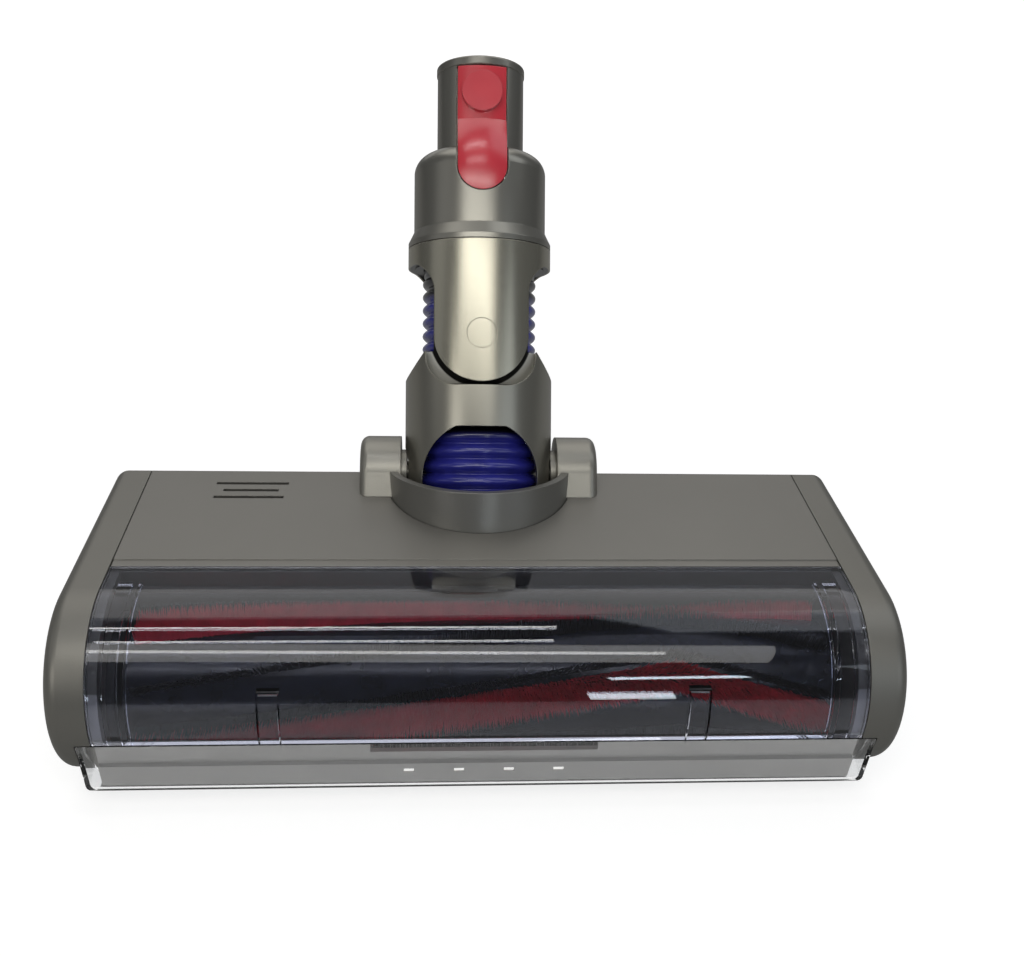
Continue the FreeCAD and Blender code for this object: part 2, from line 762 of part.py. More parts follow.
def arch_outline(half, side_height, bend, half_flat, flat_height, far_height):
    """Face seen from the front: straight sides, a rounded shoulder on each side and a flat end."""
    right_side = Vector(half, 0, side_height)
    right_flat = Vector(half_flat, 0, flat_height)
    left_side = Vector(-half, 0, side_height)
    left_flat = Vector(-half_flat, 0, flat_height)
    left_bend = Vector(-bend.x, 0, bend.z)
    return Part.Face(Part.Wire([
        Part.makeLine(Vector(-half, 0, far_height), left_side),
        Part.Arc(left_side, left_bend, left_flat).toShape(),
        Part.makeLine(left_flat, right_flat),
        Part.Arc(right_flat, bend, right_side).toShape(),
        Part.makeLine(right_side, Vector(half, 0, far_height)),
        Part.makeLine(Vector(half, 0, far_height), Vector(-half, 0, far_height)),
    ]))


def lower_neck():
    """Yoke of the neck: legs round the pitch hinge, an arch front and back, and two ball cheeks."""
    tube = z_rod(yoke_radius, -leg_radius, shoulder_top)
    ball = Part.makeSphere(ball_radius, Vector(0, 0, swing_height))
    cheek = y_rod(tongue_half, -40, 40, 0, swing_height).fuse([
        box(-tongue_half, tongue_half, -40, 40, ring_bottom + 4, swing_height),
        box(-recess_half - 0.5, recess_half + 0.5, -40, 40, ring_bottom + 4, cheek_step)])
    outer = tube.fuse(ball.common(cheek))
    bore = z_rod(yoke_bore, -40, ring_bottom).fuse([
        z_rod(ring_bore, -40, 80), z_rod(ear_bore, ring_top, 80)])
    outer = outer.cut(bore)
    recess = arch_outline(recess_half, recess_side, Vector(15.2, 0, 31.9), 8.0, recess_floor, 60)
    outer = outer.cut(through_y(recess, -40, 40).cut(ball))
    fall = (shoulder_top - shoulder_side) / (yoke_radius - shoulder_x)
    low_end = shoulder_top - fall * (40 - shoulder_x)
    slope_cut = front_polygon([(shoulder_x, shoulder_top), (shoulder_x, 60), (40, 60), (40, low_end)])
    slope_cut = through_y(slope_cut, -40, 40)
    outer = outer.cut(slope_cut).cut(mirrored(slope_cut))
    arch = arch_outline(leg_half, -3.5, Vector(16.6, 0, 8.4), arch_half_top, arch_top, -30)
    outer = outer.cut(through_y(arch, -40, 40))
    below = box(-40, 40, -40, 40, -40, 0).cut(x_rod(leg_radius, -40, 40, 0, 0))
    outer = outer.cut(below)
    outer = outer.cut(x_rod(pin_radius + running, -40, 40, 0, 0))
    pocket = x_rod(pin_disc + 0.6, 24.4, 40, 0, 0)
    outer = outer.cut(both_sides(pocket))
    return outer.cut(y_rod(swing_pin_radius + running, -40, 40, 0, swing_height))


def ringed_hose(z0, z1, cuff0=0.0, cuff1=0.0, cuff_radius=0.0):
    """Bellows hose with rounded-off rings, and a plain cuff at either end where one is given."""
    low = z0 + cuff0
    high = z1 - cuff1
    rings = round((high - low) / hose_pitch)
    step = (high - low) / rings
    points = [(hose_bore if cuff0 == 0 else cuff_radius - 1.6, z0)]
    if cuff0:
        points += [(cuff_radius, z0), (cuff_radius, low), (hose_valley, low)]
    else:
        points += [(hose_valley, z0)]
    for ring in range(rings):
        foot = low + ring * step
        points += [(hose_ridge, foot + 0.36 * step), (hose_ridge, foot + 0.64 * step)]
        points.append((hose_valley, foot + step))
    if cuff1:
        points += [(hose_valley + 1.6, high), (hose_valley + 1.6, z1)]
    points.append((hose_bore, z1))
    if cuff0:
        points += [(hose_bore, low + 2.0), (cuff_radius - 1.6, low)]
    section = [Vector(r, 0, z) for r, z in points]
    face = Part.Face(Part.makePolygon(section + section[:1]))
    return face.revolve(Vector(0, 0, 0), Vector(0, 0, 1), 360)


def lower_hose():
    return ringed_hose(-16.0, ring_bottom)


def upper_hose():
    return ringed_hose(ring_bottom + 1.0, 77.0, ring_top - ring_bottom - 0.7, 9.0, ring_bore - 0.3)


def side_arch():
    """Opening in each side of the arm, seen from the side, with rounded upper corners."""
    back = round_corner(side(side_arch_half, 0), side(side_arch_half, side_arch_top),
                        side(0, side_arch_top), side_arch_round)
    front = round_corner(side(0, side_arch_top), side(-side_arch_half, side_arch_top),
                         side(-side_arch_half, 0), side_arch_round)
    foot_back = side(side_arch_half, 0)
    foot_front = side(-side_arch_half, 0)
    return Part.Face(Part.Wire([
        Part.makeLine(foot_back, back[0]),
        Part.Arc(back[0], back[1], back[2]).toShape(),
        Part.makeLine(back[2], front[0]),
        Part.Arc(front[0], front[1], front[2]).toShape(),
        Part.makeLine(front[2], foot_front),
        Part.makeLine(foot_front, foot_back),
    ]))


def swivel_arm():
    """Arm of the neck: a round skirt with two long tongues that reach down to the swing pivot."""
    shell = z_ring(arm_radius, arm_bore, 20, arm_seam)
    tongues = y_rod(tongue_half, -40, 40, 0, swing_height).fuse(box(-40, 40, -40, 40, swing_height, arm_seam))
    arm = shell.common(tongues).cut(along_x(side_arch(), -40, 40))
    arm = arm.cut(Part.makeSphere(ball_radius + 0.3, Vector(0, 0, swing_height)))
    seat = z_ring(arm_bore + 0.2, hose_valley + 1.7, 71.0, 77.0)
    arm = arm.fuse(seat)
    return arm.cut(y_rod(swing_pin_radius, -40, 40, 0, swing_height))


def swing_pin():
    """Short rivet through the front tongue and the cheek behind it."""
    pin = y_rod(swing_pin_radius, -arm_radius, -ear_bore - 0.3, 0, swing_height)
    return pin.common(z_rod(arm_radius - 0.05, 0, arm_seam))


def connector_tube():
    """Collar and stub that push into the wand, with the well of the latch in front."""
    relief = stub_radius - stub_relief
    shoulder = collar_top + shoulder_rise
    bend = Vector(relief + 0.74 * (collar_radius - relief), 0, collar_top + 0.7 * shoulder_rise)

    def at(radius, z):
        return Vector(radius, 0, z)

    seam_z = arm_seam + 0.25
    edges = [
        Part.makeLine(at(arm_bore - 0.6, seam_z), at(arm_radius, seam_z)),
        Part.makeLine(at(arm_radius, seam_z), at(arm_radius, 80.0)),
        Part.makeLine(at(arm_radius, 80.0), at(collar_radius, collar_foot)),
        Part.makeLine(at(collar_radius, collar_foot), at(collar_radius, collar_top)),
        Part.Arc(at(collar_radius, collar_top), bend, at(relief, shoulder)).toShape(),
        Part.makeLine(at(relief, shoulder), at(relief, stub_band)),
        Part.makeLine(at(relief, stub_band), at(stub_radius, stub_band)),
        Part.makeLine(at(stub_radius, stub_band), at(stub_radius, stub_end - rim_round)),
        Part.Arc(at(stub_radius, stub_end - rim_round),
                 at(stub_radius - rim_round * 0.293, stub_end - rim_round * 0.293),
                 at(stub_radius - rim_round, stub_end)).toShape(),
        Part.makeLine(at(stub_radius - rim_round, stub_end), at(0, stub_end)),
        Part.makeLine(at(0, stub_end), at(0, 90.0)),
        Part.makeLine(at(0, 90.0), at(arm_bore - 0.6, seam_z)),
    ]
    tube = Part.Face(Part.Wire(edges)).revolve(Vector(0, 0, 0), Vector(0, 0, 1), 360)
    airway = z_rod(stub_bore, 80.0, stub_end + 1).common(box(-40, 40, -airway_flat, 40, 60, 160))
    funnel = Part.makeCone(arm_bore - 0.6, stub_bore, 16.0, Vector(0, 0, arm_seam))
    tube = tube.cut(airway.fuse(funnel))
    half = latch_half + 0.4
    well = box(-half, half, -30, -airway_flat - 1.2, latch_foot + half - 0.4, latch_end)
    foot = y_rod(half, -30, -14.4, 0, latch_foot + half - 0.4)
    low_well = box(-half, half, -30, -14.4, latch_foot + half - 0.4, 112)
    upper_well = well.common(box(-half, half, -30, 0, 110, latch_end))
    tube = tube.cut(foot.fuse([low_well, upper_well]))
    return tube.cut(x_rod(axle_radius, -12.0, 12.0, -latch_pivot_depth, latch_pivot))


def release_latch():
    """Rocking latch: thumb pad below, round catch above, turning on a pin at its foot."""
    bar = box(-latch_half, latch_half, -15.3, -12.9, 117.0, latch_end - 0.5)
    bar = bar.common(z_rod(bar_crown, 110, latch_end, 0, bar_crown - 15.3))
    foot_edge = Vector(22.6, 0, latch_foot)
    top_edge = Vector(17.2, 0, pad_end)
    swell = Part.Face(Part.Wire([
        Part.makeLine(Vector(0, 0, latch_foot), foot_edge),
        Part.Arc(foot_edge, Vector(22.3, 0, 107.0), top_edge).toShape(),
        Part.makeLine(top_edge, Vector(0, 0, pad_end)),
        Part.makeLine(Vector(0, 0, pad_end), Vector(0, 0, latch_foot)),
    ]))
    swell = swell.revolve(Vector(0, 0, 0), Vector(0, 0, 1), 360)
    behind = side_polygon([
        (-30, latch_foot), (-30, pad_end), (-12.9, pad_end),
        (-12.9, 117.0), (-15.2, 111.0), (-15.2, latch_foot)])
    foot = y_rod(latch_half, -30, 0, 0, latch_foot + latch_half)
    above = box(-latch_half, latch_half, -30, 0, latch_foot + latch_half, pad_end)
    pad = swell.common(along_x(behind, -latch_half, latch_half)).common(foot.fuse(above))
    latch = pad.fuse(bar)
    catch = y_rod(catch_radius, -17.3, -14.0, 0, catch_height)
    return latch.fuse(catch).cut(x_rod(axle_radius + running, -20, 20, -latch_pivot_depth, latch_pivot))


def latch_pin():
    return x_rod(axle_radius, -12.0, 12.0, -latch_pivot_depth, latch_pivot)


def latch_spring():
    """Bent steel strip between the floor of the well and the latch."""
    strip = side_polygon([
        (-10.9, 118.0), (-11.2, 118.0), (-11.2, 122.0), (-12.9, 131.0), (-12.9, 134.0), (-12.6, 134.0),
        (-12.6, 131.1), (-10.9, 122.1)])
    return along_x(strip, -2.5, 2.5)


def contact_block():
    """Moulded carrier of the electrical contacts, low in the mouth of the stub."""
    block = box(-5.5, 5.5, 9.2, 14, 118.0, 139.4)
    return block.common(z_rod(stub_bore, 110, 145))


def contact_pins():
    pins = [z_rod(0.9, 139.4, 141.4, x, 11.2) for x in (-2.8, 2.8)]
    return Part.makeCompound(pins)


head_pieces = {
    "upper_housing": upper_housing(),
    "lower_housing": lower_housing(),
    "left_end_cap": left_end_cap(),
    "right_end_cap": right_end_cap(),
    "cap_lock": cap_lock(),
    "cap_bush": cap_bush(),
    "clear_cover": clear_cover(),
    "lamp_strip": lamp_strip(),
    "lamp_board": lamp_board(),
    "head_lamps": head_lamps(),
    "neck_cup": neck_cup(),
    "right_neck_ear": neck_ear(),
    "left_neck_ear": mirrored(neck_ear()),
    "right_neck_pin": neck_pin(),
    "left_neck_pin": mirrored(neck_pin()),
    "suction_duct": suction_duct(),
    "motor_pod": motor_pod(),
    "pod_bearing": pod_bearing(),
    "brush_motor": brush_motor(),
    "gearbox": gearbox(),
    "drive_shaft": drive_shaft(),
    "drive_hub": drive_hub(),
    "brush_core": brush_core(),
    "brush_end_plug": brush_end_plug(),
    "red_bristles": brush_rows((bristle_phase,), bristle_width),
    "black_strips": brush_rows(strip_phases, strip_width),
    "left_wheel": wheel(-wheel_x),
    "right_wheel": wheel(wheel_x),
    "left_axle": wheel_axle(-wheel_x),
    "right_axle": wheel_axle(wheel_x),
    "glide_pads": glide_pads(),
    "felt_strip": felt_strip(),
    "housing_screws": housing_screws(),
    "control_board": control_board(),
}
neck_pieces = {
    "lower_neck": lower_neck(),
    "lower_hose": lower_hose(),
    "upper_hose": upper_hose(),
    "swivel_arm": swivel_arm(),
    "front_swing_pin": swing_pin(),
    "back_swing_pin": swing_pin().mirror(Vector(0, 0, 0), Vector(0, 1, 0)),
    "connector_tube": connector_tube(),
    "release_latch": release_latch(),
    "latch_pin": latch_pin(),
    "latch_spring": latch_spring(),
    "contact_block": contact_block(),
    "contact_pins": contact_pins(),
}
for name, shape in head_pieces.items():
    save(name, shape)
for name, shape in neck_pieces.items():
    save(name, on_neck(shape))
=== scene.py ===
import json
import math
from functools import partial

import bpy
from mathutils import Matrix, Vector


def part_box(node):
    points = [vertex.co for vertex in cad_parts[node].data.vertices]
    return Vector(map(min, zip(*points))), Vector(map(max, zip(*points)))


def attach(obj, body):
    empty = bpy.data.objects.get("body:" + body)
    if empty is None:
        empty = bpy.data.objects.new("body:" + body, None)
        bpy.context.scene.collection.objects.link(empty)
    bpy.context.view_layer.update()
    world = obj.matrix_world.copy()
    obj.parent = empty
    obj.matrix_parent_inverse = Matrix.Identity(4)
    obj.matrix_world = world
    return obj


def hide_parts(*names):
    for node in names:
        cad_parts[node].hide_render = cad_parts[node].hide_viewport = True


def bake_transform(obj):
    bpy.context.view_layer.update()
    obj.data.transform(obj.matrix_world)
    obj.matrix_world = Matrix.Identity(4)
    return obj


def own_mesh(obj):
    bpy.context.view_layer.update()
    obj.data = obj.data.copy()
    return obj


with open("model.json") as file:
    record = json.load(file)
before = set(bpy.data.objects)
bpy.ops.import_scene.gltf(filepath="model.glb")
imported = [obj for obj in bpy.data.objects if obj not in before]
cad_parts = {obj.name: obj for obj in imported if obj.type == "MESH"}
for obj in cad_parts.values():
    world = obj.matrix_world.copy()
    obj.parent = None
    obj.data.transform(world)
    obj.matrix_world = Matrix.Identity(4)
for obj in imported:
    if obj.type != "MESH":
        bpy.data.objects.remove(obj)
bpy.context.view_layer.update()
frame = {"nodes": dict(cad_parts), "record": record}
nodes = frame["nodes"]


# The studio: a camera above and in front of the head, a seamless white floor,
# and large soft lamps. The camera looks square to the neck and leans a little.
mm = 0.001
origin_y = 69.421 * mm
eye = Vector((-16.0, -245.94, 288.95)) * mm - Vector((0, origin_y, 0))
look_down = math.radians(36.74)
look_aside = math.radians(5.06)
lean = math.radians(3.38)
focal_pixels = 1117.87
picture_width = 1024
sensor_width = 36.0

forward = Vector((
    math.sin(look_aside) * math.cos(look_down),
    math.cos(look_aside) * math.cos(look_down),
    -math.sin(look_down),
))
level_right = Vector((math.cos(look_aside), -math.sin(look_aside), 0))
level_up = level_right.cross(forward)
right = level_right * math.cos(lean) + level_up * math.sin(lean)
up = level_up * math.cos(lean) - level_right * math.sin(lean)

scene = bpy.context.scene
scene.view_settings.view_transform = "Standard"
camera_data = bpy.data.cameras.new("camera")
camera_data.sensor_width = sensor_width
camera_data.lens = sensor_width * focal_pixels / picture_width
camera_data.clip_start = 0.01
camera = bpy.data.objects.new("camera", camera_data)
camera.matrix_world = Matrix((
    (right.x, up.x, -forward.x, eye.x),
    (right.y, up.y, -forward.y, eye.y),
    (right.z, up.z, -forward.z, eye.z),
    (0, 0, 0, 1),
))
scene.collection.objects.link(camera)
scene.camera = camera


def soft_lamp(name, place, aim, width, height, power, colour=(1, 1, 1)):
    """A rectangular lamp turned to its aim, with its width level."""
    lamp = bpy.data.lights.new(name, "AREA")
    lamp.shape = "RECTANGLE"
    lamp.size = width
    lamp.size_y = height
    lamp.energy = power
    lamp.color = colour
    steep = 0.95
    back = (Vector(place) - Vector(aim)).normalized()
    upright = Vector((0, 1, 0)) if back.z > steep else Vector((0, 0, 1))
    across = upright.cross(back).normalized()
    holder = bpy.data.objects.new(name, lamp)
    holder.matrix_world = Matrix((across, back.cross(across), back)).transposed().to_4x4()
    holder.location = place
    scene.collection.objects.link(holder)


head_middle = (0, 0, 0.05)
neck_foot = (0, 0.06, 0.1)
warm_back = (1.0, 0.985, 0.95)
warm_front = (1.0, 0.985, 0.93)
soft_lamp("back_low", (0.0, 1.5, 0.75), head_middle, 2.0, 0.8, 1.0, warm_back)
soft_lamp("back_high", (-0.1, 0.75, 1.1), head_middle, 1.6, 1.0, 5.0, warm_back)
soft_lamp("front_panel", (-0.05, -0.33, 0.5), neck_foot, 0.6, 0.2, 0.58, warm_front)
soft_lamp("front_tube", (-0.05, -0.32, 0.49), neck_foot, 0.42, 0.03, 0.2, warm_front)
soft_lamp("left_front", (-0.55, -0.6, 0.42), head_middle, 0.3, 0.3, 0.7, (1.0, 0.98, 0.92))
soft_lamp("left_window", (-0.9, -0.1, 0.55), head_middle, 0.4, 0.6, 0.2)
soft_lamp("right_window", (0.65, -0.6, 0.4), head_middle, 0.5, 0.5, 0.7, (0.85, 0.93, 1.0))
soft_lamp("right_ceiling", (0.65, 0.15, 0.95), head_middle, 0.5, 1.0, 1.4, (0.92, 0.96, 1.0))
soft_lamp("front_pane", (0.267, -0.93, 0.53), (0, -0.07, 0.05), 0.16, 0.05, 0.26, (0.8, 0.92, 1.0))
soft_lamp("low_pane", (0.218, -1.08, 0.17), (0, -0.07, 0.04), 0.1, 0.12, 0.34, (0.85, 0.94, 1.0))
soft_lamp("back_fill", (0.0, 1.2, 0.3), head_middle, 1.6, 0.3, 0.8)
tube_x = -0.135
for tube_y, tube_power in ((-0.045, 0.6), (-0.33, 0.45)):
    soft_lamp("ceiling_tube", (tube_x, tube_y, 1.0), (tube_x, tube_y, 0.03), 0.52, 0.03, tube_power)


def feed(tree, socket, value):
    """Give a socket a link if the value comes from a node, and else the plain value."""
    if isinstance(value, bpy.types.NodeSocket):
        tree.links.new(value, socket)
    else:
        socket.default_value = value


def add_node(tree, kind, inputs=None, **settings):
    """A new node with its settings, and with links or plain values on the inputs given."""
    node = tree.nodes.new(kind)
    for key, value in settings.items():
        setattr(node, key, value)
    for key, value in (inputs or {}).items():
        feed(tree, node.inputs[key], value)
    return node


def maths(tree, operation, *values):
    """One step of sums on numbers, each given as a link or as a plain value."""
    return add_node(tree, "ShaderNodeMath", dict(enumerate(values)), operation=operation).outputs[0]


def vector_maths(tree, operation, *values):
    """One step of sums on vectors. A length comes out as a number."""
    node = add_node(tree, "ShaderNodeVectorMath", dict(enumerate(values)), operation=operation)
    return node.outputs["Value" if operation == "LENGTH" else "Vector"]


def mapped(tree, value, from_low, from_high, to_low=0.0, to_high=1.0):
    """Stretch a value from one range to another, held at both ends."""
    node = add_node(tree, "ShaderNodeMapRange", {
        "Value": value, "From Min": from_low, "From Max": from_high, "To Min": to_low, "To Max": to_high,
    })
    return node.outputs["Result"]


def object_place(tree):
    """The place of a point of the surface, in the piece's own axes."""
    return add_node(tree, "ShaderNodeTexCoord").outputs["Object"]


def new_material(name):
    """A node material, its tree and its shader."""
    material = bpy.data.materials.new(name)
    material.use_nodes = True
    shader = material.node_tree.nodes["Principled BSDF"]
    return material, material.node_tree, shader


world = bpy.data.worlds.new("white_room")
world.use_nodes = True
sky = world.node_tree
room = sky.nodes["Background"]
room.inputs["Color"].default_value = (0.93, 0.96, 1.0, 1)
room.inputs["Strength"].default_value = 0.12
white = add_node(sky, "ShaderNodeBackground", {"Color": (1, 1, 1, 1), "Strength": 1.0})
choose = add_node(sky, "ShaderNodeMixShader", {
    "Fac": add_node(sky, "ShaderNodeLightPath").outputs["Is Camera Ray"],
    1: room.outputs["Background"],
    2: white.outputs["Background"],
})
sky.links.new(choose.outputs["Shader"], sky.nodes["World Output"].inputs["Surface"])
scene.world = world

floor_half = 6.0
floor_corners = [(x * floor_half, y * floor_half, 0) for x, y in ((-1, -1), (1, -1), (1, 1), (-1, 1))]
floor_mesh = bpy.data.meshes.new("floor")
floor_mesh.from_pydata(floor_corners, [], [(0, 1, 2, 3)])
floor = bpy.data.objects.new("floor", floor_mesh)
scene.collection.objects.link(floor)
floor_paint, floor_tree, floor_shader = new_material("floor_white")
floor_shader.inputs["Base Color"].default_value = (0.4, 0.4, 0.4, 1)
floor_shader.inputs["Roughness"].default_value = 0.9
floor_shader.inputs["Specular IOR Level"].default_value = 0.1

# The floor glows white to the camera, less so near the head, where its shadow falls. Seen
# through the clear parts it glows as well, but not under the head.
floor_maths = partial(maths, floor_tree)
floor_place = object_place(floor_tree)
floor_axes = add_node(floor_tree, "ShaderNodeSeparateXYZ", {"Vector": floor_place}).outputs
floor_path = add_node(floor_tree, "ShaderNodeLightPath").outputs
footprint_half_width = 0.118
near_reach, far_reach = 0.3, 1.2
near_glow, far_glow = 0.78, 1.0
beside_head = floor_maths("GREATER_THAN", floor_maths("ABSOLUTE", floor_axes["X"]), footprint_half_width)
before_head = floor_maths("LESS_THAN", floor_axes["Y"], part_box("lamp_board")[1][1])
behind_head = floor_maths("GREATER_THAN", floor_axes["Y"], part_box("upper_housing")[1][1])
clear_of_head = floor_maths("MAXIMUM", beside_head, floor_maths("MAXIMUM", before_head, behind_head))
seen_through = floor_maths("MULTIPLY", floor_path["Is Transmission Ray"], clear_of_head)
floor_seen = floor_maths("MAXIMUM", floor_path["Is Camera Ray"], seen_through)
floor_reach = vector_maths(floor_tree, "LENGTH", floor_place)
glow_share = mapped(floor_tree, floor_reach, near_reach, far_reach, near_glow, far_glow)
floor_glow = add_node(floor_tree, "ShaderNodeEmission", {
    "Color": (1, 1, 1, 1), "Strength": floor_maths("MULTIPLY", floor_seen, glow_share),
})
floor_mix = add_node(floor_tree, "ShaderNodeAddShader", {
    0: floor_shader.outputs["BSDF"], 1: floor_glow.outputs["Emission"],
})
floor_tree.links.new(floor_mix.outputs["Shader"], floor_tree.nodes["Material Output"].inputs["Surface"])
floor_mesh.materials.append(floor_paint)


# The shells of the head: two moulded halves and two end caps, all in plastic with a
# satin metallic lacquer. The halves are screwed together and the caps slide on.
def speckle(tree, scale, low, high):
    """A fine noise over the piece, spread between two values."""
    usual_low, usual_high = 0.3, 0.7
    noise = add_node(tree, "ShaderNodeTexNoise", {
        "Vector": object_place(tree), "Scale": scale, "Detail": 2.0,
    })
    return mapped(tree, noise.outputs["Fac"], usual_low, usual_high, low, high)


def shade_between(tree, shader, dark, light, scale):
    """Let the colour wander a little between two close shades."""
    ramp = add_node(tree, "ShaderNodeValToRGB", {"Fac": speckle(tree, scale, 0, 1)})
    ramp.color_ramp.elements[0].color = (*dark, 1)
    ramp.color_ramp.elements[1].color = (*light, 1)
    tree.links.new(ramp.outputs["Color"], shader.inputs["Base Color"])


def fine_grain(tree, shader, scale, depth, edge=0.0):
    """A shallow bump, as the grain of a mould or of a lacquer, over softly broken edges."""
    bump = add_node(tree, "ShaderNodeBump", {
        "Strength": 0.35, "Distance": depth, "Height": speckle(tree, scale, 0, 1),
    })
    tree.links.new(bump.outputs["Normal"], shader.inputs["Normal"])
    if edge:
        soft_edge = add_node(tree, "ShaderNodeBevel", {"Radius": edge}, samples=4)
        tree.links.new(soft_edge.outputs["Normal"], bump.inputs["Normal"])


mould_grain_scale = 2600
mould_grain_depth = 0.00002


def lacquered_plastic(name, colour, metallic, rough, edge=0.0005, grain=mould_grain_depth):
    """Plastic under a metallic lacquer, with a slight wander in its shade and its gloss."""
    material, tree, shader = new_material(name)
    shade_between(tree, shader, [c * 0.98 for c in colour], [c * 1.02 for c in colour], 25)
    shader.inputs["Metallic"].default_value = metallic
    tree.links.new(speckle(tree, 20, rough - 0.008, rough + 0.008), shader.inputs["Roughness"])
    fine_grain(tree, shader, mould_grain_scale, grain, edge)
    return material


def joint_place(name):
    """Where a joint of the frame has its axis."""
    for joint in frame["record"]["behaviour"]["joints"]:
        if joint["name"] == name:
            return joint["pos_m"]


def finish_nodes(material, *names):
    """Give one material to pieces of the frame."""
    for name in names:
        nodes[name].data.materials.clear()
        nodes[name].data.materials.append(material)


shell_lacquer = lacquered_plastic("shell_lacquer", (0.225, 0.217, 0.2), 0.6, 0.4)
cap_lacquer = lacquered_plastic("cap_lacquer", (0.21, 0.203, 0.184), 0.6, 0.4)
finish_nodes(shell_lacquer, "upper_housing")
finish_nodes(cap_lacquer, "left_end_cap", "right_end_cap")


# The sole half of the head: the same lacquer below and behind, and bare light grey
# plastic on the wall that carries the lamps behind the clear strip.
def mixed_colour(tree, share, first, second):
    """Two colours, each given as a link or as plain values, mixed by a share from 0 to 1."""
    node = add_node(tree, "ShaderNodeMix", data_type="RGBA")
    tree.links.new(share, node.inputs["Factor"])
    for key, colour in (("A", first), ("B", second)):
        linked = isinstance(colour, bpy.types.NodeSocket)
        feed(tree, node.inputs[key], colour if linked else (*colour, 1))
    return node.outputs["Result"]


def within(tree, value, limit, blur=0.1 * mm):
    """1 where a measure is below its limit and 0 above it, with a narrow blur between."""
    return mapped(tree, value, limit + blur, limit - blur)


sole_lacquer, sole_tree, sole_shader = new_material("sole_lacquer")
sole_axes = add_node(sole_tree, "ShaderNodeSeparateXYZ", {"Vector": object_place(sole_tree)}).outputs
lamp_wall_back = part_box("lamp_board")[1][1] + 2.5 * mm
on_lamp_wall = within(sole_tree, sole_axes["Y"], lamp_wall_back)
sole_colour = mixed_colour(sole_tree, on_lamp_wall, (0.17, 0.165, 0.15), (0.42, 0.41, 0.4))
sole_tree.links.new(sole_colour, sole_shader.inputs["Base Color"])
sole_shader.inputs["Metallic"].default_value = 0.3
sole_tree.links.new(speckle(sole_tree, 140, 0.38, 0.46), sole_shader.inputs["Roughness"])
fine_grain(sole_tree, sole_shader, mould_grain_scale, mould_grain_depth)
finish_nodes(sole_lacquer, "lower_housing")


# The neck: a fixed tub and two ears on the head, then the yoke, the swivelling arm
# and the collar with its stub, each a moulded piece in a brighter, warmer lacquer.
fine_edge = 0.0004
fine_orange_peel = 0.000004
# The pieces share one lacquer, but its base shade steps from the dark tub through the ears, collar and yoke
# to the light arm: painted light and shade, set to how brightly each piece is lit.
tub_lacquer = lacquered_plastic("tub_lacquer", (0.22, 0.215, 0.2), 0.6, 0.36)
ear_lacquer = lacquered_plastic("ear_lacquer", (0.3, 0.29, 0.26), 0.7, 0.36)
yoke_lacquer = lacquered_plastic(
    "yoke_lacquer", (0.34, 0.327, 0.285), 0.85, 0.3, fine_edge, fine_orange_peel)
arm_lacquer = lacquered_plastic(
    "arm_lacquer", (0.438, 0.419, 0.346), 0.9, 0.25, fine_edge, fine_orange_peel)
collar_lacquer = lacquered_plastic(
    "collar_lacquer", (0.31, 0.3, 0.268), 0.85, 0.3, fine_edge, fine_orange_peel)
# Near-black used as painted shade, in the yoke's tongue gap and inside the arm's wall.
painted_shade_black = (0.008, 0.008, 0.008)
neck_axis = Vector(frame["record"]["mounts"][0]["axis"])
neck_front = Vector((0, -neck_axis.z, neck_axis.y))


def reach_from(tree, centre, axis=None):
    """How far a place on the piece lies from a centre, or from the axis through it."""
    offset = vector_maths(tree, "SUBTRACT", object_place(tree), centre)
    if axis is not None:
        offset = vector_maths(tree, "CROSS_PRODUCT", offset, axis)
    return vector_maths(tree, "LENGTH", offset)


def recolour(material, share, colour):
    """Lay a colour over the colour that the material has, by a share from 0 to 1."""
    tree = material.node_tree
    base = tree.nodes["Principled BSDF"].inputs["Base Color"]
    tree.links.new(mixed_colour(tree, share, base.links[0].from_socket, colour), base)


# The yoke's ball seat is painted near-white and unmetallic, a painted highlight on the faces beside the
# tongues, and painted black in the gap around the tongues, a painted shade.
ball_seat_radius = 23.6 * mm
tongue_gap_radius = 17.4 * mm
yoke_tree = yoke_lacquer.node_tree
swing_place = joint_place("neck_swing")
seat_highlight_share = within(yoke_tree, reach_from(yoke_tree, swing_place), ball_seat_radius)
gap_shade_share = within(yoke_tree, reach_from(yoke_tree, swing_place, neck_front), tongue_gap_radius, 0.2 * mm)
recolour(yoke_lacquer, seat_highlight_share, mixed_colour(yoke_tree, gap_shade_share, (0.8, 0.79, 0.74), painted_shade_black))
yoke_metal = mapped(yoke_tree, seat_highlight_share, 0.0, 1.0, 0.85, 0.0)
yoke_tree.links.new(yoke_metal, yoke_tree.nodes["Principled BSDF"].inputs["Metallic"])

# Inside the arm's wall the colour is painted black: painted shade in the hollow round the hose.
arm_skin_radius = 24.4 * mm
arm_tree = arm_lacquer.node_tree
arm_reach = reach_from(arm_tree, joint_place("neck_pitch"), neck_axis)
recolour(arm_lacquer, within(arm_tree, arm_reach, arm_skin_radius), painted_shade_black)

finish_nodes(tub_lacquer, "neck_cup")
finish_nodes(yoke_lacquer, "lower_neck")
finish_nodes(collar_lacquer, "connector_tube")
finish_nodes(ear_lacquer, "left_neck_ear", "right_neck_ear", "left_neck_pin", "right_neck_pin")
finish_nodes(arm_lacquer, "swivel_arm", "front_swing_pin", "back_swing_pin")


